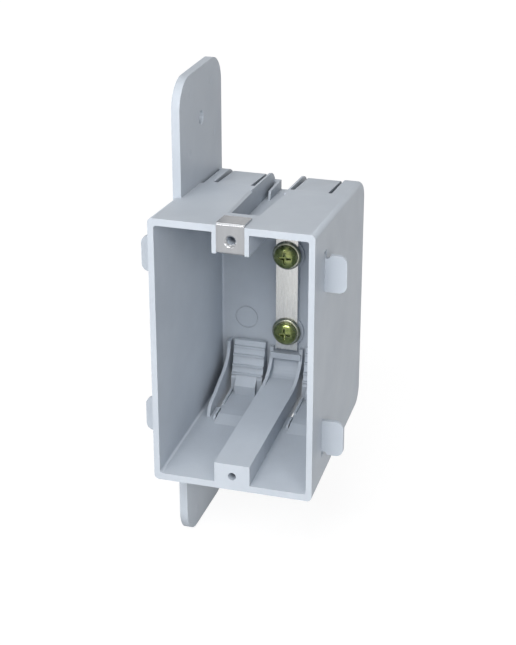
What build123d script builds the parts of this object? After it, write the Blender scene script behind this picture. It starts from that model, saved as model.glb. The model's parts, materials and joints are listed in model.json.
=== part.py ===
"""Single-gang switch box for new work: a moulded box with a side nailing flange, four drywall ears and
four cable clamps, plus the device screw clip, the bonding strap and two ground screws with washers.

Frame, in millimetres: the origin lies half-way between the two device screw holes, in the plane of the
front rim. X points right, Y into the box, Z up. Sizes are of the finished moulding.
"""
import math
import os

from build123d import *

os.makedirs("parts", exist_ok=True)

# Box shell
FRONT_W = 54.7          # over the side walls at the rim
DEPTH = 69.9            # rim to back face, 2-3/4 in
SIDE_WALL = 2.0
END_WALL = 2.4          # top and bottom walls
BACK_WALL = 2.5
END_DRAFT = 0.060       # top and bottom walls, mm per mm of depth
SIDE_DRAFT = 0.010      # side walls, mm per mm of depth
REAR_R = 7.0            # rear top and bottom corners
EDGE_R = 1.6            # long outside edges
IN_EDGE_R = 0.8         # long inside edges

# Device screws, on the 83.3 mm (3-9/32 in) spacing of wiring devices
SCREW_Z = 41.65
END_LAND = 5.05         # rim beyond each device screw
FRONT_H = 2 * (SCREW_Z + END_LAND)
PILOT_R = 1.4           # clearance of a 6-32 thread in the bosses
CLIP_T = 0.8
CLIP_HALF_W = 4.6
CLIP_LEG = 8.0          # clip on the top wall
CLIP_TAIL = 8.8         # clip under the boss

# Centre channels, outside, and their ridges, inside
BOSS_DEPTH = 14.0       # solid boss behind the rim
RIDGE_DROP = 4.45       # ridge face below the device screw
RIDGE_Z0 = SCREW_Z - RIDGE_DROP
RIDGE_HALF_W = 6.1
RIDGE_SLOPE = 0.045
RIDGE_SHEET = 1.3
CHANNEL_FRONT = 4.6     # half width of the channel behind the boss
CHANNEL_WALL = 0.6      # what is left beside the channel where it is widest
CHANNEL_LIP = 0.8       # bevel along the channel's outer edges, in front of the clamps
NOTCH_HALF_W = 3.4      # where the channel leaves through the back wall
RIB_RISE = 1.6          # ribs and web in the channel, over the ridge face at the rim
PANEL_RISE = 1.1        # upright panel at the end of the lower ridge, over the back wall
PANEL_DROP = 8.9        # its upper end, from the ridge face at the rim
PANEL_R = 4.6           # the ridge's turn into the panel

# Cable clamps
SLOT_LEN = 23.3         # from the back face to the hinge line
SLOT_W = 1.4
REAR_LAP = 0.7          # the back wall laps the clamp's sides
CLAMP_W = 11.6
CLAMP_DROP = 19.3       # the slots run this far down the back wall
CLAMP_LAP = 0.8         # the clamp's end laps the back wall
HINGE_R = 1.15
HINGE_GAP = 0.05
FLOOR_T = 2.3           # clamp thickness beside the hinge
STEP_OUT = 10.1         # step on the clamp, from the back face
HEEL_OUT = 3.9          # heel of the clamp, from the back face
HEEL_DROP = 0.7         # heel below the wall's outer face
PAD_INSET = 1.9         # raised pad on the clamp, from the clamp's sides
PAD_RISE = 2.4          # and in front of the step

# Flange and ears
FLANGE_T = 2.85
FLANGE_FRONT = 24.3     # front edge of the flange, from the rim
FLANGE_BACK = 2.4       # rear edge, from the back face
FLANGE_ARM = 37.0       # beyond the top and bottom walls
FLANGE_R = 10.0         # its corners
NAIL_HOLE_R = 2.2
NAIL_HOLE_IN = 17.3     # nail hole from the arm's end
EAR_SETBACK = 12.7      # for 1/2 in drywall
EAR_T = 1.5
EAR_OUT = 7.15          # beyond the side wall at the rim
EAR_DROP = 6.15         # ear's upper edge below the device screw
EAR_H = 12.5
EAR_NOTCH_R = 1.3

# Strap and ground screws
STRAP_HALF_W = 4.1
STRAP_T = 0.8
STRAP_RISE = 0.9        # seat of the strap over the back wall
SCREW_XZ = ((0.0, 12.3), (0.0, -17.2))
BORE_R = 2.42
BORE_GAP = 0.07         # thread clearance
SCREW_L = 6.3           # shank under the head
RING_XZ = (-15.4, -14.0)
RING_R = 4.35

# Places that follow from the sizes above
INSIDE_Y = DEPTH - BACK_WALL
PANEL_Y = INSIDE_Y - PANEL_RISE
STRAP_Y = INSIDE_Y - STRAP_RISE
SLOT_Y = DEPTH - SLOT_LEN
STEP_Y = DEPTH - STEP_OUT
SLOT_IN = (RIDGE_HALF_W + 0.1, RIDGE_HALF_W + 0.1 + SLOT_W)
SLOT_OUT = (SLOT_IN[1] + CLAMP_W, SLOT_IN[1] + CLAMP_W + SLOT_W)
CHANNEL_REAR = RIDGE_HALF_W - CHANNEL_WALL


def end_wall(y, inset=0.0):
    """Height of the top wall's outer face at depth y, less an inset."""
    return FRONT_H / 2 - END_DRAFT * y - inset


SLOT_Z = end_wall(DEPTH, CLAMP_DROP)
HINGE_Z = end_wall(SLOT_Y, HINGE_R + HINGE_GAP)
PANEL_Z = RIDGE_Z0 - PANEL_DROP


def ridge(y):
    """Height of the upper ridge's face at depth y."""
    return RIDGE_Z0 - RIDGE_SLOPE * y


def side_profile(front, back, inset, radius):
    """YZ profile of the shell between two depths, with its two rear corners rounded."""
    with BuildSketch(Plane.YZ) as profile:
        with BuildLine():
            Polyline((front, end_wall(front, inset)), (back, end_wall(back, inset)),
                     (back, -end_wall(back, inset)), (front, -end_wall(front, inset)), close=True)
        make_face()
        fillet([v for v in profile.vertices() if v.X > back - 0.1], radius)
    return profile.sketch


def plan_profile(front, back, inset):
    """XY profile of the shell between two depths."""
    with BuildSketch(Plane.XY) as profile:
        with BuildLine():
            Polyline((FRONT_W / 2 - SIDE_DRAFT * front - inset, front),
                     (FRONT_W / 2 - SIDE_DRAFT * back - inset, back),
                     (-FRONT_W / 2 + SIDE_DRAFT * back + inset, back),
                     (-FRONT_W / 2 + SIDE_DRAFT * front + inset, front), close=True)
        make_face()
    return profile.sketch


def rounded_block(front, back, side_inset, end_inset, rear_radius, edge_radius):
    """Tapered block with rounded rear corners and rounded long edges."""
    with BuildPart() as block:
        extrude(side_profile(front, back, end_inset, rear_radius), amount=40, both=True)
        extrude(plan_profile(front, back, side_inset), amount=60, both=True, mode=Mode.INTERSECT)
        edges = [e for e in block.edges()
                 if abs(e.center().X) > FRONT_W / 2 - 5 and e.center().Y > front + 0.5]
        fillet(edges, edge_radius)
    return block.part


def yz_plate(points, x0, x1, rounded=None, radius=0.0):
    """Plate between two X planes, from a YZ outline; chosen corners are rounded."""
    with BuildPart() as plate:
        with BuildSketch(Plane.YZ.offset(x0)) as outline:
            with BuildLine():
                Polyline(*points, close=True)
            make_face()
            if rounded:
                picked = [v for v in outline.vertices()
                          for (y, z) in rounded if abs(v.X - y) < 0.01 and abs(v.Y - z) < 0.01]
                fillet(picked, radius)
        extrude(amount=x1 - x0)
    return plate.part


def curved_fin(base, crest, x0, x1):
    """Thin fin between two X planes: a straight or stepped base line and a smooth crest line."""
    with BuildPart() as fin:
        with BuildSketch(Plane.YZ.offset(x0)):
            with BuildLine():
                top = Spline(*crest)
                Polyline(top @ 1, *base, top @ 0)
            make_face()
        extrude(amount=x1 - x0)
    return fin.part


def both_ends(part):
    """The part and its mirror image below the centre plane."""
    return [part, mirror(part, about=Plane.XY)]


def four_ways(part):
    """The part mirrored to both sides and to both ends."""
    return [part, mirror(part, about=Plane.YZ), mirror(part, about=Plane.XY), part.rotate(Axis.Y, 180)]


outer = rounded_block(0, DEPTH, 0, 0, REAR_R, EDGE_R)
cavity = rounded_block(-1, INSIDE_Y, SIDE_WALL, END_WALL, REAR_R - BACK_WALL, IN_EDGE_R)

# The lower ridge climbs into an upright panel on the back wall; the upper ridge ends at the back wall.
ridge_foot = (PANEL_Y, ridge(PANEL_Y))
lower_ridge = mirror(yz_plate(
    [(0, RIDGE_Z0), ridge_foot, (PANEL_Y, PANEL_Z), (DEPTH, PANEL_Z), (DEPTH, FRONT_H / 2), (0, FRONT_H / 2)],
    -RIDGE_HALF_W, RIDGE_HALF_W, [ridge_foot], PANEL_R), about=Plane.XY)
upper_ridge = yz_plate([(0, RIDGE_Z0), (DEPTH, ridge(DEPTH)), (DEPTH, FRONT_H / 2), (0, FRONT_H / 2)],
                       -RIDGE_HALF_W, RIDGE_HALF_W)

# Channel in the outside of each ridge: it widens up to the slots and leaves through the back wall.
flare_y = SLOT_Y - 5.0
with BuildPart() as channel:
    with BuildSketch(Plane.YZ.offset(-RIDGE_HALF_W)):
        with BuildLine():
            Polyline((BOSS_DEPTH, ridge(BOSS_DEPTH) + RIDGE_SHEET), (DEPTH + 1, ridge(DEPTH + 1) + RIDGE_SHEET),
                     (DEPTH + 1, FRONT_H), (BOSS_DEPTH, FRONT_H), close=True)
        make_face()
    extrude(amount=2 * RIDGE_HALF_W)
    with BuildSketch(Plane.XY):
        with BuildLine():
            Polyline((CHANNEL_FRONT, BOSS_DEPTH), (CHANNEL_REAR, flare_y), (CHANNEL_REAR, DEPTH + 1),
                     (-CHANNEL_REAR, DEPTH + 1), (-CHANNEL_REAR, flare_y), (-CHANNEL_FRONT, BOSS_DEPTH),
                     close=True)
        make_face()
    extrude(amount=FRONT_H, mode=Mode.INTERSECT)
with BuildPart() as channel_lip:
    lip_run = Vector(CHANNEL_REAR - CHANNEL_FRONT, flare_y - BOSS_DEPTH, -END_DRAFT * (flare_y - BOSS_DEPTH))
    with BuildSketch(Plane.XZ.offset(-BOSS_DEPTH)) as lip_section:
        with BuildLine():
            Polyline((CHANNEL_FRONT - 0.2, end_wall(BOSS_DEPTH) + 0.1), (CHANNEL_FRONT - 0.2, end_wall(BOSS_DEPTH, 1.0)),
                     (CHANNEL_FRONT + CHANNEL_LIP, end_wall(BOSS_DEPTH) + 0.1), close=True)
        make_face()
    extrude(amount=lip_run.length, dir=lip_run)
rib_top = RIDGE_Z0 + RIB_RISE
channel_rib = yz_plate(
    [(SLOT_Y + 8.5, ridge(SLOT_Y + 8.5) + 0.6), (SLOT_Y + 10.5, rib_top), (DEPTH, rib_top),
     (DEPTH, ridge(DEPTH) + 0.6)], NOTCH_HALF_W, NOTCH_HALF_W + 0.9)
rear_web = yz_plate(
    [(INSIDE_Y, ridge(DEPTH)), (INSIDE_Y, rib_top), (DEPTH, rib_top), (DEPTH, ridge(DEPTH))],
    NOTCH_HALF_W, RIDGE_HALF_W - 0.1)

# Seat of the clip: flush in the rim and in the face of the upper boss.
seat_end = CLIP_TAIL + 0.8
clip_seat = yz_plate(
    [(-1, FRONT_H), (CLIP_T + 0.01, FRONT_H), (CLIP_T + 0.01, ridge(CLIP_T) + CLIP_T + 0.07),
     (seat_end, ridge(seat_end) + CLIP_T + 0.08), (seat_end, RIDGE_Z0 - 5), (-1, RIDGE_Z0 - 5)],
    -CLIP_HALF_W - 0.05, CLIP_HALF_W + 0.05)

# Guide fins: one on each edge of the ridge and one outside each outer slot.
fin_x = (RIDGE_HALF_W - 1.2, RIDGE_HALF_W)
inner_fin = curved_fin(
    [(DEPTH - 1.5, SLOT_Z + 0.7), (DEPTH - 1.5, SLOT_Z + 13.3), (DEPTH - 18.9, SLOT_Z + 13.3)],
    [(DEPTH - 18.9, SLOT_Z + 11.7), (DEPTH - 12.7, SLOT_Z + 10.8), (DEPTH - 7.7, SLOT_Z + 8.2),
     (DEPTH - 4.9, SLOT_Z + 4.7), (DEPTH - 4.2, SLOT_Z + 0.7)], *fin_x)
outer_fin = curved_fin(
    [(DEPTH - 1.5, SLOT_Z - 0.2), (DEPTH - 1.5, SLOT_Z + 19.4), (DEPTH - 30.7, SLOT_Z + 19.4)],
    [(DEPTH - 30.7, SLOT_Z + 18.4), (DEPTH - 29.0, SLOT_Z + 15.2), (DEPTH - 23.8, SLOT_Z + 13.2),
     (DEPTH - 17.4, SLOT_Z + 10.6), (DEPTH - 10.9, SLOT_Z + 8.0), (DEPTH - 7.0, SLOT_Z + 4.2),
     (DEPTH - 6.2, SLOT_Z - 0.2)], SLOT_OUT[1] + 0.05, SLOT_OUT[1] + 1.25)

# Opening of one cable clamp: through the top wall, and narrower than the clamp down the back wall.
waist = SLOT_Z + 13.0
top_opening = yz_plate(
    [(SLOT_Y, FRONT_H), (SLOT_Y, waist), (DEPTH + 1, waist), (DEPTH + 1, FRONT_H)], SLOT_IN[0], SLOT_OUT[1])
rear_opening = yz_plate(
    [(SLOT_Y, waist + 0.1), (SLOT_Y, SLOT_Z), (DEPTH + 1, SLOT_Z), (DEPTH + 1, waist + 0.1)],
    SLOT_IN[1] + REAR_LAP, SLOT_OUT[0] - REAR_LAP)
with BuildPart() as hinge_seat:
    with BuildSketch(Plane.YZ.offset(SLOT_IN[1] - 0.1)):
        with Locations((SLOT_Y, HINGE_Z)):
            Circle(HINGE_R + HINGE_GAP)
        with BuildLine():
            Polyline((SLOT_Y, HINGE_Z), (SLOT_Y, HINGE_Z - 4.7), (SLOT_Y - 2.2, HINGE_Z - 4.7),
                     (SLOT_Y - 1.02, HINGE_Z - 0.66), close=True)
        make_face()
    extrude(amount=SLOT_OUT[0] - SLOT_IN[1] + 0.2)

# In front of each clamp: a raised ramp on the wall, with a low bead along each side of it.
ramp = yz_plate(
    [(SLOT_Y - 11.6, end_wall(SLOT_Y - 11.6, 1.0)), (SLOT_Y - 11.6, end_wall(SLOT_Y - 11.6, END_WALL - 0.1)),
     (SLOT_Y - 5.6, end_wall(SLOT_Y - 5.6, END_WALL + 1.1)), (SLOT_Y - 1.7, end_wall(SLOT_Y - 1.7, END_WALL + 1.0)),
     (SLOT_Y - 1.7, end_wall(SLOT_Y - 1.7, 1.0))], SLOT_IN[1] + 1.1, SLOT_OUT[0] - 1.2)
bead_line = [(SLOT_Y - 8.4, end_wall(SLOT_Y - 8.4, 1.0)), (SLOT_Y - 8.4, end_wall(SLOT_Y - 8.4, END_WALL + 0.3)),
             (SLOT_Y - 7.4, end_wall(SLOT_Y - 7.4, END_WALL + 1.2)),
             (SLOT_Y - 1.7, end_wall(SLOT_Y - 1.7, END_WALL + 1.3)), (SLOT_Y - 1.7, end_wall(SLOT_Y - 1.7, 1.0))]
beads = [yz_plate(bead_line, SLOT_IN[1], SLOT_IN[1] + 0.8), yz_plate(bead_line, SLOT_OUT[0] - 0.8, SLOT_OUT[0])]

# Seat of the strap, with a round boss under each ground screw and a blind boss behind it.
with BuildPart() as strap_seat:
    seat_ends = (SCREW_XZ[1][1] - 7.5, ridge(STRAP_Y) + 1.5)
    with BuildSketch(Plane.XZ.offset(-STRAP_Y)):
        with Locations((0, sum(seat_ends) / 2)):
            Rectangle(2 * STRAP_HALF_W, seat_ends[1] - seat_ends[0])
        with Locations(*SCREW_XZ):
            Circle(BORE_R + 3.7)
    extrude(amount=-(INSIDE_Y + 1.0 - STRAP_Y))
boss_end = STRAP_Y - STRAP_T + SCREW_L - 0.4
with BuildPart() as rear_bosses:
    with BuildSketch(Plane.XZ.offset(-(DEPTH - 1.0))):
        with Locations(*SCREW_XZ):
            Circle(BORE_R + 2.2)
    extrude(amount=-(boss_end + 1.1 - DEPTH + 1.0))
    chamfer(rear_bosses.edges().group_by(Axis.Y)[-1], 0.6)
with BuildPart() as screw_bores:
    with BuildSketch(Plane.XZ.offset(-(STRAP_Y - 1.0))):
        with Locations(*SCREW_XZ):
            Circle(BORE_R)
    extrude(amount=-(boss_end - STRAP_Y + 1.0))
lower_ledge = yz_plate(
    [(PANEL_Y - 1.6, -PANEL_Z + 2.6), (PANEL_Y - 1.6, -PANEL_Z + 0.4), (PANEL_Y, -PANEL_Z), (DEPTH - 1, -PANEL_Z),
     (DEPTH - 1, -PANEL_Z + 2.6)], 0.5 - RIDGE_HALF_W, RIDGE_HALF_W - 0.5)

# Nailing flange with its nail holes and shallow dimples.
flange_x = (-FRONT_W / 2, -FRONT_W / 2 + FLANGE_T)
flange_y = (FLANGE_FRONT, DEPTH - FLANGE_BACK)
flange_z = FRONT_H / 2 + FLANGE_ARM
nail_y = (flange_y[0] + flange_y[1]) / 2
dimple_r = 6.0
dimples = [(flange_y[1] - 11.3, flange_z - 7.1), (flange_y[0] + 10.8, flange_z - 6.1),
           (flange_y[1] - 8.0, flange_z - 26.1), (flange_y[0] + 9.6, flange_z - 26.4)]
with BuildPart() as flange:
    with BuildSketch(Plane.YZ.offset(flange_x[0])) as outline:
        with Locations((nail_y, 0)):
            Rectangle(flange_y[1] - flange_y[0], 2 * flange_z)
        fillet(outline.vertices(), FLANGE_R)
    extrude(amount=FLANGE_T)
    with BuildSketch(Plane.YZ.offset(flange_x[0])):
        with Locations((nail_y, flange_z - NAIL_HOLE_IN), (nail_y, NAIL_HOLE_IN - flange_z)):
            Circle(NAIL_HOLE_R)
    extrude(amount=FLANGE_T, mode=Mode.SUBTRACT)
    chamfer(flange.edges().filter_by(GeomType.CIRCLE).filter_by(
        lambda e: abs(e.radius - NAIL_HOLE_R) < 0.01 and e.center().X > flange_x[1] - 0.1), 0.3)
    with Locations(*[(flange_x[1] + dimple_r - 0.25, y, s * z) for s in (1, -1) for y, z in dimples]):
        Sphere(dimple_r, mode=Mode.SUBTRACT)
    add(cavity, mode=Mode.SUBTRACT)

# Relief along the foot of the flange, beside the clamps.
foot_relief = yz_plate(
    [(SLOT_Y - 3.0, FRONT_H), (SLOT_Y - 2.4, end_wall(SLOT_Y, 0.9)), (DEPTH - 6.0, end_wall(DEPTH - 6.0, 0.9)),
     (DEPTH - 6.0, FRONT_H)], flange_x[1], flange_x[1] + 1.0)

# One drywall ear, with a small round notch above its root that reaches into the wall.
ear_x = FRONT_W / 2 + EAR_OUT
ear_z = (SCREW_Z - EAR_DROP - EAR_H, SCREW_Z - EAR_DROP)
ear_root = FRONT_W / 2 - SIDE_WALL / 2
with BuildPart() as ear:
    with BuildSketch(Plane.XZ.offset(-EAR_SETBACK)) as outline:
        with BuildLine():
            Polyline((ear_root, ear_z[0]), (ear_x, ear_z[0]), (ear_x, ear_z[1]), (ear_root, ear_z[1]),
                     close=True)
        make_face()
        fillet([v for v in outline.vertices() if v.X > ear_root + 3], 2.6)
    extrude(amount=-EAR_T)
with BuildPart() as ear_notch:
    with BuildSketch(Plane.XZ.offset(-(EAR_SETBACK - 0.9))):
        with Locations((FRONT_W / 2 + 0.4, ear_z[1] + 0.1)):
            Circle(EAR_NOTCH_R)
    extrude(amount=-(EAR_T + 1.8))

# Faint ring in the back wall.
with BuildPart() as ring_mark:
    with BuildSketch(Plane.XZ.offset(-(INSIDE_Y - 1.0))):
        with Locations(RING_XZ):
            Circle(RING_R)
            Circle(RING_R - 0.5, mode=Mode.SUBTRACT)
    extrude(amount=-1.35)

with BuildPart() as box_body:
    add(outer)
    add(cavity, mode=Mode.SUBTRACT)
    with BuildPart(mode=Mode.PRIVATE) as inside:
        add([upper_ridge, lower_ridge])
        add([*four_ways(inner_fin), *four_ways(outer_fin), *four_ways(ramp)])
        for bead in beads:
            add(four_ways(bead))
        add([strap_seat.part, lower_ledge])
        add(outer, mode=Mode.INTERSECT)
    add(inside.part)
    add(rear_bosses.part)
    add([*both_ends(channel.part), *four_ways(channel_lip.part)], mode=Mode.SUBTRACT)
    add([*four_ways(channel_rib), *four_ways(rear_web)])
    add([*four_ways(top_opening), *four_ways(rear_opening)], mode=Mode.SUBTRACT)
    add(four_ways(hinge_seat.part), mode=Mode.SUBTRACT)
    add([flange.part, *four_ways(ear.part)])
    add([screw_bores.part, clip_seat, ring_mark.part, *both_ends(foot_relief),
         *four_ways(ear_notch.part)], mode=Mode.SUBTRACT)
    with BuildSketch(Plane.XZ):
        with Locations((0, SCREW_Z), (0, -SCREW_Z)):
            Circle(PILOT_R)
    extrude(amount=-(BOSS_DEPTH + 1), mode=Mode.SUBTRACT)


def cable_clamp():
    """The upper right clamp: a bent flap with a pad, grip ribs and side beads, turning on a rounded root."""
    root = HINGE_Z - HINGE_R
    step_z = end_wall(STEP_Y, FLOOR_T + 0.1)
    tip_z = SLOT_Z - CLAMP_LAP
    heel_y = DEPTH - HEEL_OUT
    inner_line = [(SLOT_Y, root), (STEP_Y, step_z), (STEP_Y, SLOT_Z + 12.2), (STEP_Y + 0.8, SLOT_Z + 11.5),
                  (STEP_Y + 5.1, tip_z)]
    outer_line = [(INSIDE_Y - 0.7, tip_z), (heel_y + 0.4, SLOT_Z + 11.0), (heel_y, end_wall(heel_y, HEEL_DROP)),
                  (SLOT_Y, HINGE_Z + HINGE_R)]
    ribs = [(STEP_Y + 1.1, SLOT_Z + 10.6), (STEP_Y + 2.1, SLOT_Z + 7.7), (STEP_Y + 3.4, SLOT_Z + 4.1),
            (STEP_Y + 4.5, SLOT_Z + 1.2)]
    with BuildPart() as clamp:
        with BuildSketch(Plane.YZ.offset(SLOT_IN[1])) as outline:
            with BuildLine():
                Polyline(*inner_line, *outer_line, close=True)
            make_face()
            corner = [v for v in outline.vertices() if abs(v.X - heel_y) < 0.01 and v.Y > step_z]
            fillet(corner, 1.6)
            with Locations((SLOT_Y, HINGE_Z)):
                Circle(HINGE_R)
            for y, z in ribs:
                with BuildLine():
                    Polyline((y + 1.0, z + 0.6), (y - 0.8, z + 0.45), (y - 0.8, z - 0.2), (y + 1.0, z - 0.3),
                             close=True)
                make_face()
        extrude(amount=CLAMP_W)
        with BuildSketch(Plane.YZ.offset(SLOT_IN[1] + PAD_INSET)):
            with BuildLine():
                Polyline((STEP_Y - PAD_RISE, step_z + 0.6), (STEP_Y - PAD_RISE + 0.1, SLOT_Z + 14.3),
                         (STEP_Y + 0.7, SLOT_Z + 11.0), (STEP_Y + 1.6, SLOT_Z + 11.5), (STEP_Y + 1.2, step_z + 0.6),
                         close=True)
            make_face()
        extrude(amount=CLAMP_W - 2 * PAD_INSET)
        for x in (SLOT_IN[1], SLOT_OUT[0] - 0.8):
            with BuildSketch(Plane.YZ.offset(x)):
                with BuildLine():
                    Polyline((SLOT_Y + 1.6, root + 0.6), (SLOT_Y + 2.4, root - 0.8), (STEP_Y + 0.5, step_z - 1.2),
                             (STEP_Y + 0.5, step_z + 0.6), close=True)
                make_face()
            extrude(amount=0.8)
    return clamp.part


clamp_names = ("cable_clamp_top_right", "cable_clamp_top_left", "cable_clamp_bottom_right",
               "cable_clamp_bottom_left")
clamps = dict(zip(clamp_names, four_ways(cable_clamp())))

# Clip for the upper device screw: a steel strip folded over the rim and under the boss.
with BuildPart() as device_screw_clip:
    with BuildSketch(Plane.YZ.offset(-CLIP_HALF_W)):
        with BuildLine() as path:
            Polyline((CLIP_LEG, end_wall(CLIP_LEG) + CLIP_T / 2 + 0.02), (CLIP_T / 2, end_wall(0) + CLIP_T / 2 + 0.02),
                     (CLIP_T / 2, ridge(0) + CLIP_T / 2 + 0.05), (CLIP_TAIL, ridge(CLIP_TAIL) + CLIP_T / 2 + 0.05))
            offset(path.line, CLIP_T / 2, kind=Kind.INTERSECTION)
        make_face()
    extrude(amount=2 * CLIP_HALF_W)
    fillet(device_screw_clip.edges().filter_by(Axis.X).filter_by(lambda e: e.center().Y < 0.05), 0.6)
    with BuildSketch(Plane.XZ):
        with Locations((0, SCREW_Z)):
            Circle(PILOT_R)
    extrude(amount=-(CLIP_T + 0.5), mode=Mode.SUBTRACT)
    chamfer(device_screw_clip.edges().filter_by(GeomType.CIRCLE).filter_by(
        lambda e: e.center().Y < 0.05), 0.4)

# Bonding strap: along the upper ridge from the clip to the back wall, then down its seat.
with BuildPart() as bonding_strap:
    with BuildSketch(Plane.YZ.offset(-STRAP_HALF_W + 0.1)):
        with BuildLine() as path:
            Polyline((3.0, ridge(3.0) - STRAP_T / 2), (STRAP_Y - STRAP_T / 2, ridge(STRAP_Y) - STRAP_T / 2),
                     (STRAP_Y - STRAP_T / 2, SCREW_XZ[1][1] - 7.0))
            offset(path.line, STRAP_T / 2, kind=Kind.INTERSECTION)
        make_face()
    extrude(amount=2 * STRAP_HALF_W - 0.2)
    bend = bonding_strap.edges().filter_by(Axis.X).filter_by(
        lambda e: abs(e.center().Y - (STRAP_Y - STRAP_T)) < 0.05 and e.center().Z > 30)
    fillet(bend, 0.8)
    with BuildSketch(Plane.XZ.offset(-(STRAP_Y - STRAP_T - 0.5))):
        with Locations(*SCREW_XZ):
            Circle(BORE_R)
    extrude(amount=-(STRAP_T + 1.0), mode=Mode.SUBTRACT)


def ground_washer(z):
    """Cup washer under a ground screw head."""
    seat = STRAP_Y - STRAP_T
    with BuildPart() as washer:
        with BuildSketch(Plane.XY) as section:
            with BuildLine():
                Polyline((BORE_R, seat), (BORE_R + 2.78, seat), (BORE_R + 2.88, seat - 0.35),
                         (BORE_R + 2.18, seat - 1.05), (BORE_R, seat - 0.9), close=True)
            make_face()
        revolve(axis=Axis.Y)
    return Pos(0, 0, z) * washer.part


def ground_screw(z):
    """Ground screw with a domed head, a cross recess and a plain-cut shank."""
    head = STRAP_Y - STRAP_T - 1.06
    shank = BORE_R - BORE_GAP
    rim = shank + 1.95
    with BuildPart() as screw:
        with BuildSketch(Plane.XY):
            with BuildLine():
                Polyline((0, head + SCREW_L), (shank - 0.65, head + SCREW_L), (shank, head + SCREW_L - 0.7),
                         (shank, head), (rim, head), (rim, head - 0.7))
                ThreePointArc((rim, head - 0.7), (0.6 * rim, head - 2.1), (0, head - 2.6))
                Line((0, head - 2.6), (0, head + SCREW_L))
            make_face()
        revolve(axis=Axis.Y)
        with BuildSketch(Plane.XZ.offset(-(head - 1.2))):
            Rectangle(4.2, 0.95)
            Rectangle(0.95, 4.2)
        extrude(amount=3.0, taper=-8, mode=Mode.SUBTRACT)
    return Pos(0, 0, z) * screw.part


solids = {
    "box_body": box_body.part,
    "device_screw_clip": device_screw_clip.part,
    "bonding_strap": bonding_strap.part,
    "ground_washer_upper": ground_washer(SCREW_XZ[0][1]),
    "ground_washer_lower": ground_washer(SCREW_XZ[1][1]),
    "ground_screw_upper": ground_screw(SCREW_XZ[0][1]),
    "ground_screw_lower": ground_screw(SCREW_XZ[1][1]),
    **clamps,
}
for label, solid in solids.items():
    solid.label = label
    export_step(solid, f"parts/{label}.step")
    box = solid.bounding_box()
    print(f"{label:26s} {solid.volume:10.1f} mm3  solids {len(solid.solids())}  "
          f"x {box.min.X:.1f}..{box.max.X:.1f}  y {box.min.Y:.1f}..{box.max.Y:.1f}  "
          f"z {box.min.Z:.1f}..{box.max.Z:.1f}  valid {solid.is_valid}")
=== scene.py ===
# Switch box: finishes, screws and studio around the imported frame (metres)
import bpy
import bmesh
import json
from math import radians, sin, cos, pi, hypot, sqrt
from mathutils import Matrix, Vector


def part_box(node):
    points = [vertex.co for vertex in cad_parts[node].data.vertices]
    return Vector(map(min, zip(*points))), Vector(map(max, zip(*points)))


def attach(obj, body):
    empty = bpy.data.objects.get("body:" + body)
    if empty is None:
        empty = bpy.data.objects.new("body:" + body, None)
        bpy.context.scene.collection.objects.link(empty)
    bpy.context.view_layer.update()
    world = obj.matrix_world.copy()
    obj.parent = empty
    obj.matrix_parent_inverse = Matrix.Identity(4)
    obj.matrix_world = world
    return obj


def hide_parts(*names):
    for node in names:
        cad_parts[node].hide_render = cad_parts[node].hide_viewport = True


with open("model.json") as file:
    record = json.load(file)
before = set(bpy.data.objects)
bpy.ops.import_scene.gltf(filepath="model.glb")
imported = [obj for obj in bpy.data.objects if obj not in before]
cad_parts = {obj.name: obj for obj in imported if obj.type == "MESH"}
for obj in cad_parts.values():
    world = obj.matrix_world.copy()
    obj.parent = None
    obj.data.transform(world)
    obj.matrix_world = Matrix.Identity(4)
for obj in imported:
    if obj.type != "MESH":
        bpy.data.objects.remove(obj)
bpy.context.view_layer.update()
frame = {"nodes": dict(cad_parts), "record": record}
nodes = frame["nodes"]
mm = 0.001
print("frame loaded:", len(nodes), "nodes")


# small shader helpers
def newMaterial(name):
    material = bpy.data.materials.new(name)
    material.use_nodes = True
    tree = material.node_tree
    return material, tree, tree.nodes["Principled BSDF"]


def addNode(tree, kind, inputs=None, **settings):
    node = tree.nodes.new(kind)
    for key, value in settings.items():
        setattr(node, key, value)
    for socket, value in (inputs or {}).items():
        if isinstance(value, bpy.types.NodeSocket):
            tree.links.new(value, node.inputs[socket])
        else:
            node.inputs[socket].default_value = value
    return node


def remap(tree, value, source, target=(0.0, 1.0)):
    node = addNode(tree, "ShaderNodeMapRange",
                   {"Value": value, "From Min": source[0], "From Max": source[1],
                    "To Min": target[0], "To Max": target[1]})
    return node.outputs["Result"]


def combine(tree, operation, first, second):
    return addNode(tree, "ShaderNodeMath", {0: first, 1: second}, operation=operation).outputs["Value"]


def mixColours(tree, mask, under, over):
    node = addNode(tree, "ShaderNodeMix", {"Factor": mask, "A": under, "B": over}, data_type="RGBA")
    return node.outputs["Result"]


def objectPlace(tree):
    return addNode(tree, "ShaderNodeTexCoord").outputs["Object"]


def addNoise(tree, place, scale, detail, roughness=0.5):
    node = addNode(tree, "ShaderNodeTexNoise",
                   {"Vector": place, "Scale": scale, "Detail": detail, "Roughness": roughness})
    return node.outputs["Fac"]


def newGroup(name, inputs, outputs):
    # numbers and vectors in, with their usual values; numbers out
    tree = bpy.data.node_groups.new(name, "ShaderNodeTree")
    for label, value in inputs.items():
        kind = "NodeSocketVector" if isinstance(value, tuple) else "NodeSocketFloat"
        socket = tree.interface.new_socket(name=label, in_out="INPUT", socket_type=kind)
        socket.default_value = value
    for label in outputs:
        tree.interface.new_socket(name=label, in_out="OUTPUT", socket_type="NodeSocketFloat")
    return tree, tree.nodes.new("NodeGroupInput"), tree.nodes.new("NodeGroupOutput")


def useGroup(tree, group, values):
    return addNode(tree, "ShaderNodeGroup", values, node_tree=group)


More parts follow.
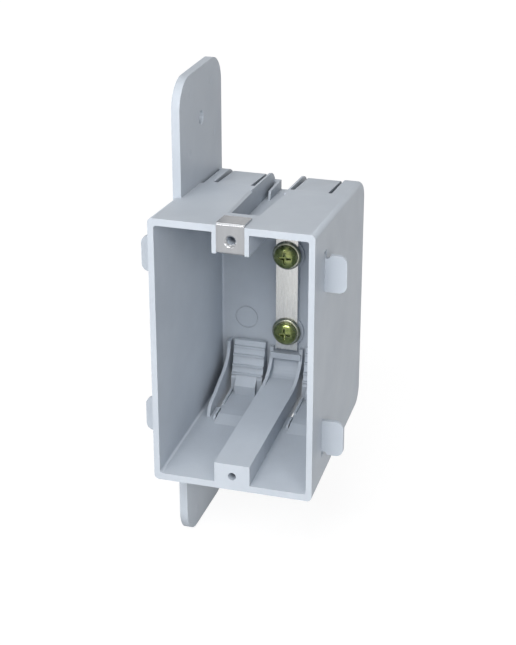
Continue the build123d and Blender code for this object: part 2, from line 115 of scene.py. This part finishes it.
# effects shared by several finishes
def makeSkinTexture():
    # soft mottling, a fine grain and long waves, in object space
    tree, given, made = newGroup(
        "skinTexture",
        {"Mottle Scale": 60.0, "Grain Scale": 2600.0, "Wave Scale": 90.0, "Stretch": (1, 1, 1)},
        ("Mottle", "Grain", "Wave"))
    stretched = addNode(tree, "ShaderNodeVectorMath",
                        {0: objectPlace(tree), 1: given.outputs["Stretch"]}, operation="MULTIPLY")
    place = stretched.outputs["Vector"]
    for label, detail, roughness in (("Mottle", 4.0, 0.6), ("Grain", 2.0, 0.5), ("Wave", 1.0, 0.4)):
        noise = addNoise(tree, place, given.outputs[label + " Scale"], detail, roughness)
        tree.links.new(noise, made.inputs[label])
    return tree


def makeEdgeWearAndHighlight():
    # mask of the edges, where the rounded normal leaves the flat one, broken up by noise: on the plastic
    # it lays a painted highlight along the edges, on the metals rubbed wear
    tree, given, made = newGroup(
        "edgeWearAndHighlight", {"Width": 0.4 * mm, "Break Up": 700.0, "Amount": 1.0}, ("Mask",))
    rounded = addNode(tree, "ShaderNodeBevel", {"Radius": given.outputs["Width"]}, samples=4)
    surface = addNode(tree, "ShaderNodeNewGeometry")
    along = addNode(tree, "ShaderNodeVectorMath",
                    {0: rounded.outputs["Normal"], 1: surface.outputs["Normal"]}, operation="DOT_PRODUCT")
    edges = remap(tree, along.outputs["Value"], (0.995, 0.86))
    noise = addNoise(tree, objectPlace(tree), given.outputs["Break Up"], 3.0)
    putOutMask(tree, given, made, edges, remap(tree, noise, (0.32, 0.62)))
    return tree


def makePaintedCornerShade():
    # mask of painted shade in the corners and hollows, from ambient occlusion, lightly speckled
    tree, given, made = newGroup(
        "paintedCornerShade", {"Reach": 6 * mm, "Speckle": 900.0, "Amount": 0.3}, ("Mask",))
    hollow = addNode(tree, "ShaderNodeAmbientOcclusion", {"Distance": given.outputs["Reach"]}, samples=4)
    corners = remap(tree, hollow.outputs["AO"], (0.58, 0.12))
    noise = addNoise(tree, objectPlace(tree), given.outputs["Speckle"], 4.0)
    putOutMask(tree, given, made, corners, remap(tree, noise, (0.0, 1.0), (0.6, 1.0)))
    return tree


def putOutMask(tree, given, made, mask, patches):
    broken = combine(tree, "MULTIPLY", mask, patches)
    tree.links.new(combine(tree, "MULTIPLY", broken, given.outputs["Amount"]), made.inputs["Mask"])


skinTexture = makeSkinTexture()
# edge mask: painted highlight on the plastic, rubbed wear on the metals
edgeWearAndHighlight = makeEdgeWearAndHighlight()
# painted shade for the corners and hollows
paintedCornerShade = makePaintedCornerShade()


# steps shared by the finishes: patches and sheen are the band of the noise that each uses
def tonesWithWearAndHighlight(tree, skin, look, deep, light, wornAndHighlight):
    # two tones in soft patches, and a third on the edges: a painted highlight on the plastic, rubbed wear
    # on the metals
    patches = remap(tree, skin.outputs["Mottle"], look["patches"])
    edges = useGroup(tree, edgeWearAndHighlight, look["edges"])
    return mixColours(tree, edges.outputs["Mask"], mixColours(tree, patches, deep, light), wornAndHighlight)


def finishSurface(tree, shader, look, colour, sheen, relief):
    bump = addNode(tree, "ShaderNodeBump",
                   {"Height": relief, "Strength": look["bumpStrength"], "Distance": look["bumpHeight"]})
    tree.links.new(colour, shader.inputs["Base Color"])
    tree.links.new(remap(tree, sheen, look["sheen"], look["roughness"]), shader.inputs["Roughness"])
    tree.links.new(bump.outputs["Normal"], shader.inputs["Normal"])


# box and clamps: light grey moulded PVC
plasticLook = {
    "colour": (0.60, 0.652, 0.715, 1),
    "shade": (0.56, 0.61, 0.675, 1),
    # lighter edge colour: a painted highlight along the edges
    "wornAndHighlight": (0.72, 0.76, 0.805, 1),
    # dark colour of the painted shade in corners and hollows
    "paintedShade": (0.24, 0.27, 0.31, 1),
    "skin": {"Mottle Scale": 45.0, "Grain Scale": 2400.0, "Wave Scale": 110.0},
    # width, break-up and strength of the painted edge highlight
    "edges": {"Width": 0.45 * mm, "Break Up": 500.0, "Amount": 0.3},
    # reach, speckle and strength of the painted corner shade
    "corners": {"Reach": 30 * mm, "Speckle": 260.0, "Amount": 0.75},
    "patches": (0.35, 0.65),
    "sheen": (0.35, 0.65),
    "roughness": (0.38, 0.44),
    "bumpStrength": 0.05,
    "bumpHeight": 0.2 * mm,
    "specular": 0.1,
}


def mouldedPlastic(name, look):
    material, tree, shader = newMaterial(name)
    skin = useGroup(tree, skinTexture, look["skin"])
    # the edges get a painted highlight here
    clean = tonesWithWearAndHighlight(tree, skin, look, look["shade"], look["colour"], look["wornAndHighlight"])
    # painted shade darkens the corners and hollows
    paintedShade = useGroup(tree, paintedCornerShade, look["corners"])
    colour = mixColours(tree, paintedShade.outputs["Mask"], clean, look["paintedShade"])
    relief = combine(tree, "ADD", skin.outputs["Grain"], skin.outputs["Wave"])
    finishSurface(tree, shader, look, colour, skin.outputs["Wave"], relief)
    shader.inputs["Specular IOR Level"].default_value = look["specular"]
    return material


# clip and strap: plated steel with a drawn grain
steelLook = {
    "skin": {"Mottle Scale": 260.0, "Grain Scale": 5200.0, "Wave Scale": 120.0},
    "edges": {"Width": 0.25 * mm, "Break Up": 900.0, "Amount": 0.6},
    "patches": (0.3, 0.7),
    "sheen": (0.3, 0.7),
    "bumpStrength": 0.12,
    "bumpHeight": 0.05 * mm,
}
clipLook = {
    **steelLook,
    "bright": (0.44, 0.45, 0.465, 1),
    "dull": (0.38, 0.39, 0.405, 1),
    "wornAndHighlight": (0.80, 0.81, 0.83, 1),
    "roughness": (0.20, 0.27),
    "stretch": (1.0, 0.3, 0.06),
}
strapLook = {
    **steelLook,
    "bright": (0.71, 0.71, 0.695, 1),
    "dull": (0.64, 0.64, 0.63, 1),
    "wornAndHighlight": (0.80, 0.79, 0.76, 1),
    "roughness": (0.22, 0.38),
    "stretch": (1.0, 0.05, 0.05),
}


def drawnSteel(name, look):
    material, tree, shader = newMaterial(name)
    skin = useGroup(tree, skinTexture, {**look["skin"], "Stretch": look["stretch"]})
    colour = tonesWithWearAndHighlight(tree, skin, look, look["dull"], look["bright"], look["wornAndHighlight"])
    finishSurface(tree, shader, look, colour, skin.outputs["Grain"], skin.outputs["Grain"])
    shader.inputs["Metallic"].default_value = 1.0
    return material


# ground screws and washers: green zinc plating
zincLook = {
    "skin": {"Mottle Scale": 420.0, "Grain Scale": 4200.0, "Wave Scale": 300.0},
    "edges": {"Width": 0.2 * mm, "Break Up": 1500.0, "Amount": 0.75},
    "patches": (0.35, 0.7),
    "sheen": (0.35, 0.65),
    "bumpStrength": 0.08,
    "bumpHeight": 0.04 * mm,
    "coat": 0.8,
    "coatRoughness": 0.1,
}
screwLook = {
    **zincLook,
    "green": (0.15, 0.20, 0.05, 1),
    "olive": (0.34, 0.37, 0.13, 1),
    "bare": (0.62, 0.63, 0.48, 1),
    "roughness": (0.18, 0.30),
}
washerLook = {
    **zincLook,
    "green": (0.30, 0.32, 0.22, 1),
    "olive": (0.50, 0.50, 0.42, 1),
    "bare": (0.80, 0.80, 0.74, 1),
    "roughness": (0.22, 0.34),
}


def greenZinc(name, look):
    material, tree, shader = newMaterial(name)
    skin = useGroup(tree, skinTexture, look["skin"])
    colour = tonesWithWearAndHighlight(tree, skin, look, look["green"], look["olive"], look["bare"])
    finishSurface(tree, shader, look, colour, skin.outputs["Wave"], skin.outputs["Grain"])
    shader.inputs["Metallic"].default_value = 1.0
    shader.inputs["Coat Weight"].default_value = look["coat"]
    shader.inputs["Coat Roughness"].default_value = look["coatRoughness"]
    return material


plastic = mouldedPlastic("mouldedPlastic", plasticLook)
clipSteel = drawnSteel("clipSteel", clipLook)
strapSteel = drawnSteel("strapSteel", strapLook)
screwZinc = greenZinc("screwZinc", screwLook)
washerZinc = greenZinc("washerZinc", washerLook)

finishes = {"moulded_pvc": plastic, "clip_steel": clipSteel,
            "strap_steel": strapSteel, "screw_zinc": screwZinc}
slotOf = {part["node"]: part["material_slot"] for part in frame["record"]["subparts"]}
for nodeName, node in nodes.items():
    node.data.materials.clear()
    node.data.materials.append(finishes[slotOf[nodeName]])
print("finishes made:", len(bpy.data.materials))


# soft edges on the carried-over nodes, with widths by how a node's name begins
softEdge = {
    "widths": {"box_body": 0.28 * mm, "bonding_strap": 0.12 * mm, "cable_clamp": 0.2 * mm},
    "weld": 0.002 * mm,
    "segments": 2,
    "sharpAngle": 40,
}


def softenEdges(piece, width):
    bevel = piece.modifiers.new("softEdge", "BEVEL")
    bevel.width = width
    bevel.segments = softEdge["segments"]
    bevel.limit_method = "ANGLE"
    bevel.angle_limit = radians(softEdge["sharpAngle"])
    return bevel


for nodeName, node in nodes.items():
    for start, width in softEdge["widths"].items():
        if nodeName.startswith(start):
            weld = node.modifiers.new("weld", "WELD")
            weld.merge_threshold = softEdge["weld"]
            softenEdges(node, width).harden_normals = True
print("edges softened")


# mesh helpers
def newPiece(name, mesh, material):
    piece = bpy.data.objects.new(name, mesh)
    bpy.context.collection.objects.link(piece)
    mesh.materials.append(material)
    return piece


def meshFromBmesh(name, shape, smoothAngle=None):
    # smooth up to the angle, or left flat without one
    bmesh.ops.recalc_face_normals(shape, faces=shape.faces)
    if smoothAngle is not None:
        for edge in shape.edges:
            edge.smooth = len(edge.link_faces) == 2 and edge.calc_face_angle(0) < radians(smoothAngle)
        for face in shape.faces:
            face.smooth = True
    mesh = bpy.data.meshes.new(name)
    shape.to_mesh(mesh)
    shape.free()
    return mesh


def ringAt(shape, middle, radius, depth, around):
    # points about a line that runs from front to back
    turns = [2 * pi * i / around for i in range(around)]
    return [shape.verts.new((middle.x + radius * cos(turn), depth, middle.z + radius * sin(turn)))
            for turn in turns]


def bridgeRings(shape, rings):
    for near, far in zip(rings, rings[1:]):
        for i in range(len(near)):
            k = (i + 1) % len(near)
            shape.faces.new((near[i], near[k], far[k], far[i]))


# ground screws
screwSpec = {
    "around": 96,
    "headSteps": 30,
    "ringCrowding": 0.92,           # under 1, the head's rings draw together towards the rim
    "crown": 2.6 * mm,
    "domeSpread": 1.03,             # radius of the dome over that of the head
    "rimHeight": 0.62 * mm,
    "rimRound": 0.16 * mm,
    "rimDrop": 0.1 * mm,
    "underRound": 0.12 * mm,
    "slotReach": 2.35 * mm,
    "slotHalf": 0.46 * mm,
    "slotFlare": 1.15,              # width in the middle, then how much of it is lost at the ends
    "slotNarrowing": 0.35,
    "slotWall": 0.22 * mm,
    "slotDepth": 1.25 * mm,
    "slotRise": 0.55,               # share of the depth that is lost at the ends
    "shankRadius": 2.33 * mm,
    "threadStart": 0.25 * mm,
    "pitch": 0.794 * mm,
    "threadDepth": 0.36 * mm,
    "stepsPerTurn": 8,
    "tipLength": 0.8 * mm,
    "tipTaper": 0.6 * mm,
    "smoothAngle": 28,
}


def headHeight(x, z, radius):
    # dome over the seat, less a cross recess that grows shallow towards its ends
    spec = screwSpec
    outward = hypot(x, z) / (radius * spec["domeSpread"])
    dome = spec["rimHeight"] + (spec["crown"] - spec["rimHeight"]) * sqrt(max(0.0, 1 - outward ** 2))
    along, across = max(abs(x), abs(z)), min(abs(x), abs(z))
    reach = along / spec["slotReach"]
    half = spec["slotHalf"] * (spec["slotFlare"] - spec["slotNarrowing"] * reach)
    edge = max(along - spec["slotReach"], across - half)
    wall = min(1.0, max(0.0, -edge / spec["slotWall"]))
    depth = spec["slotDepth"] * (1 - spec["slotRise"] * reach) * wall * wall * (3 - 2 * wall)
    return dome - depth


def makeGroundScrew(name):
    spec = screwSpec
    low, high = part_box(name)
    middle = (low + high) / 2
    washerLow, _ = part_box(name.replace("screw", "washer"))
    seat = washerLow.y
    headRadius = (high.x - low.x) / 2
    shank, under = spec["shankRadius"], spec["underRound"]
    shape = bmesh.new()
    rings = []

    def addRing(radius, depth):
        rings.append(ringAt(shape, middle, radius, depth, spec["around"]))
        return rings[-1]

    # head: from the middle out to the rim, round it, and back under to the shank
    for step in range(1, spec["headSteps"] + 1):
        share = (step / spec["headSteps"]) ** spec["ringCrowding"]
        for vert in addRing((headRadius - spec["rimRound"]) * share, seat):
            vert.co.y = seat - headHeight(vert.co.x - middle.x, vert.co.z - middle.z, headRadius)
    peak = shape.verts.new((middle.x, seat - headHeight(0, 0, headRadius), middle.z))
    for radius, depth in ((headRadius, seat - spec["rimHeight"] + spec["rimDrop"]),
                          (headRadius, seat - under), (headRadius - under, seat), (shank, seat)):
        addRing(radius, depth)
    # threaded shank: each ring draws in where the thread's groove passes it
    start, end = seat + spec["threadStart"], high.y
    steps = int((end - start) / spec["pitch"] * spec["stepsPerTurn"])
    for step in range(steps + 1):
        depth = start + (end - start) * step / steps
        tip = 1 - min(1.0, max(0.0, (end - depth) / spec["tipLength"]))
        for i, vert in enumerate(addRing(shank, depth)):
            turn = 2 * pi * i / spec["around"]
            phase = ((depth - start) / spec["pitch"] - turn / (2 * pi)) % 1.0
            groove = 1 - abs(2 * phase - 1)
            radius = shank - spec["threadDepth"] * groove - tip * spec["tipTaper"]
            vert.co.x, vert.co.z = middle.x + radius * cos(turn), middle.z + radius * sin(turn)
    bridgeRings(shape, rings)
    for i in range(spec["around"]):
        shape.faces.new((peak, rings[0][(i + 1) % spec["around"]], rings[0][i]))
    shape.faces.new(rings[-1])
    screw = newPiece(name + "_turned", meshFromBmesh(name, shape, spec["smoothAngle"]), screwZinc)
    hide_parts(name)
    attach(screw, name)


# ground washers: a pressed cup with a rolled outer edge
washerSpec = {
    "around": 96,
    "bore": 2.42 * mm,
    # mm from the outer edge or the bore, and mm from the rear or front face
    "rolledEdge": ((0.35, 0), (0.06, 0.14), (0, 0.32), (0.08, 0.50)),
    "frontEdge": ((0.45, 0.12), (0.75, 0)),
    "dish": ((0.9, 0.02), (0.3, 0.12), (0, 0.2)),
    "smoothAngle": 50,
}


def makeGroundWasher(name):
    spec = washerSpec
    low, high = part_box(name)
    middle = (low + high) / 2
    outer, bore = (high.x - low.x) / 2, spec["bore"]
    profile = [(bore, high.y)]
    profile += [(outer - inward * mm, high.y - off * mm) for inward, off in spec["rolledEdge"]]
    profile += [(outer - inward * mm, low.y + off * mm) for inward, off in spec["frontEdge"]]
    profile += [(bore + outward * mm, low.y + off * mm) for outward, off in spec["dish"]]
    shape = bmesh.new()
    rings = [ringAt(shape, middle, radius, depth, spec["around"]) for radius, depth in profile]
    bridgeRings(shape, rings + rings[:1])
    washer = newPiece(name + "_pressed", meshFromBmesh(name, shape, spec["smoothAngle"]), washerZinc)
    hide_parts(name)
    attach(washer, name)


for level in ("upper", "lower"):
    makeGroundScrew("ground_screw_" + level)
    makeGroundWasher("ground_washer_" + level)
print("screws and washers made")


# device screw clip
clipSpec = {
    "thickness": 0.8 * mm,
    "legReach": 8.4 * mm,
    "legSlope": 0.06,
    "footSlope": 0.044,
    "bendRadius": 0.62 * mm,
    "bendSteps": 8,
    "softEdge": 0.12 * mm,
    "flatWeight": 100,              # lets the large faces settle the shading
    "holeZ": 41.65 * mm,
    "mouthRadius": 2.1 * mm,
    "holeRadius": 1.32 * mm,
    "mouthDepth": 0.74 * mm,
    "holeSides": 48,
    "cutAhead": 0.5 * mm,
    "cutBehind": 2 * mm,
    "smoothAngle": 35,
}


def clipPath(low, high):
    # middle line of the folded strip in the YZ plane: leg, front plate, foot
    spec = clipSpec
    half = spec["thickness"] / 2
    bend = spec["bendRadius"]
    front = low.y + half
    legTop = high.z - half
    footEnd = low.z + half
    footTop = footEnd + spec["footSlope"] * (high.y - front)
    points = [(spec["legReach"], legTop - spec["legSlope"] * (spec["legReach"] - front))]
    for centreZ, first in ((legTop - bend, 90), (footTop + bend, 180)):
        for step in range(spec["bendSteps"] + 1):
            turn = radians(first + 90 * step / spec["bendSteps"])
            points.append((front + bend + bend * cos(turn), centreZ + bend * sin(turn)))
    points.append((high.y, footEnd))
    return points


def stripOutline(path, half):
    # both sides of the strip, each point set off square to the path
    sides = []
    for i, (y, z) in enumerate(path):
        before, after = path[max(i - 1, 0)], path[min(i + 1, len(path) - 1)]
        dy, dz = after[0] - before[0], after[1] - before[1]
        length = hypot(dy, dz)
        sides.append(((y + half * dz / length, z - half * dy / length),
                      (y - half * dz / length, z + half * dy / length)))
    return [side[0] for side in sides] + [side[1] for side in reversed(sides)]


def makeHoleCutter(front):
    # funnel mouth, then the straight hole
    spec = clipSpec
    mouth, hole, ahead = spec["mouthRadius"], spec["holeRadius"], spec["cutAhead"]
    profile = ((mouth + ahead, front - ahead), (mouth, front),
               (hole, front + spec["mouthDepth"]), (hole, front + spec["cutBehind"]))
    middle = Vector((0, front, spec["holeZ"]))
    shape = bmesh.new()
    rings = [ringAt(shape, middle, radius, depth, spec["holeSides"]) for radius, depth in profile]
    bridgeRings(shape, rings)
    shape.faces.new(rings[0])
    shape.faces.new(rings[-1])
    return newPiece("holeCutter", meshFromBmesh("holeCutter", shape, spec["smoothAngle"]), clipSteel)


def makeClip():
    spec = clipSpec
    low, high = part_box("device_screw_clip")
    points = stripOutline(clipPath(low, high), spec["thickness"] / 2)
    shape = bmesh.new()
    left = [shape.verts.new((low.x, y, z)) for y, z in points]
    right = [shape.verts.new((high.x, y, z)) for y, z in points]
    shape.faces.new(left)
    shape.faces.new(right)
    bridgeRings(shape, (left, right))
    clip = newPiece("device_screw_clip_folded", meshFromBmesh("clipStrip", shape), clipSteel)
    cutter = makeHoleCutter(low.y)
    hole = clip.modifiers.new("screwHole", "BOOLEAN")
    hole.operation = "DIFFERENCE"
    hole.solver = "EXACT"
    hole.object = cutter
    softenEdges(clip, spec["softEdge"])
    # hole and soft edges go into the mesh, and the cutter goes
    cut = clip.evaluated_get(bpy.context.evaluated_depsgraph_get())
    finished = bpy.data.meshes.new_from_object(cut)
    clip.modifiers.clear()
    clip.data = finished
    bpy.data.objects.remove(cutter)
    for polygon in finished.polygons:
        polygon.use_smooth = True
    flat = clip.modifiers.new("flatFaces", "WEIGHTED_NORMAL")
    flat.weight = spec["flatWeight"]
    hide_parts("device_screw_clip")
    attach(clip, "box")


makeClip()
print("clip made")


# studio: pale floor, soft lamps and the photograph's view
studio = {
    "floorZ": -83.8 * mm,
    "floorSize": 6,
    "floorTone": 0.2,
    "floorRoughness": 0.9,
    "floorSpecular": 0.1,
    "bounceTone": 0.75,
    "glowNear": 0.88,
    "glowFar": 1.0,
    "glowReach": 1.4,
    "ambient": 0.09,
}


def grey(tone):
    return (tone, tone, tone, 1)


def showToEye(tree, others, seen, output):
    # camera, mirror and see-through rays meet the shader "seen", all the rest "others"
    path = addNode(tree, "ShaderNodeLightPath").outputs
    some = combine(tree, "MAXIMUM", path["Is Camera Ray"], path["Is Glossy Ray"])
    every = combine(tree, "MAXIMUM", some, path["Is Transmission Ray"])
    mix = addNode(tree, "ShaderNodeMixShader", {"Fac": every, 1: others, 2: seen})
    tree.links.new(mix.outputs["Shader"], tree.nodes[output].inputs["Surface"])


def makeFloor():
    bpy.ops.mesh.primitive_plane_add(size=studio["floorSize"], location=(0, 0, studio["floorZ"]))
    floor = bpy.context.object
    floor.name = "studioFloor"
    material, tree, shader = newMaterial("paleFloor")
    shader.inputs["Base Color"].default_value = grey(studio["floorTone"])
    shader.inputs["Roughness"].default_value = studio["floorRoughness"]
    shader.inputs["Specular IOR Level"].default_value = studio["floorSpecular"]
    # the eye sees it glow, a little more far off; the object only gets plain light back from it
    away = addNode(tree, "ShaderNodeVectorMath", {0: objectPlace(tree)}, operation="LENGTH")
    strength = remap(tree, away.outputs["Value"], (0.0, studio["glowReach"]),
                     (studio["glowNear"], studio["glowFar"]))
    glow = addNode(tree, "ShaderNodeEmission", {"Strength": strength})
    seen = addNode(tree, "ShaderNodeAddShader", {0: shader.outputs["BSDF"], 1: glow.outputs["Emission"]})
    bounce = addNode(tree, "ShaderNodeBsdfDiffuse", {"Color": grey(studio["bounceTone"])})
    showToEye(tree, bounce.outputs["BSDF"], seen.outputs["Shader"], "Material Output")
    floor.data.materials.append(material)


def makeWorld():
    world = bpy.data.worlds.new("studioWorld")
    bpy.context.scene.world = world
    world.use_nodes = True
    tree = world.node_tree
    ambient = tree.nodes["Background"]
    ambient.inputs["Color"].default_value = grey(1)
    ambient.inputs["Strength"].default_value = studio["ambient"]
    seen = addNode(tree, "ShaderNodeBackground")
    showToEye(tree, ambient.outputs["Background"], seen.outputs["Background"], "World Output")


lamps = {
    "keyLamp": {"place": (0.02, -0.76, 0.65), "size": 0.45, "power": 5.5},
    "leftLamp": {"place": (-0.58, -0.77, 0.26), "size": 0.45, "power": 2.2},
    "glintLamp": {"place": (-0.32, -0.84, 0.42), "size": 0.08, "power": 0.32},
    "rightLamp": {"place": (0.58, -0.75, 0.32), "size": 0.45, "power": 2.9},
    "topLamp": {"place": (-0.10, -0.05, 0.97), "size": 0.5, "power": 1.8},
    "backLamp": {"place": (0.42, 0.86, 0.28), "size": 0.2, "power": 0.8},
}


def addLamp(name, spec):
    data = bpy.data.lights.new(name, "AREA")
    data.size = spec["size"]
    data.energy = spec["power"]
    lamp = bpy.data.objects.new(name, data)
    lamp.location = spec["place"]
    lamp.rotation_euler = (-Vector(spec["place"])).to_track_quat("-Z", "Y").to_euler()
    bpy.context.collection.objects.link(lamp)


photoView = {
    "place": (0.14223, -0.44196, 0.22025),
    "tilt": 66.069,
    "heading": 16.769,
    "lens": 89.37,
    "sensor": 36,
    "clip": (0.01, 20),
}


def makeCamera():
    data = bpy.data.cameras.new("viewCamera")
    data.sensor_width = photoView["sensor"]
    data.lens = photoView["lens"]
    data.clip_start, data.clip_end = photoView["clip"]
    camera = bpy.data.objects.new("viewCamera", data)
    camera.location = photoView["place"]
    camera.rotation_euler = (radians(photoView["tilt"]), 0, radians(photoView["heading"]))
    bpy.context.collection.objects.link(camera)
    bpy.context.scene.camera = camera


makeFloor()
makeWorld()
for lampName, lampSpec in lamps.items():
    addLamp(lampName, lampSpec)
makeCamera()
bpy.context.scene.view_settings.view_transform = "Standard"
print("studio ready")
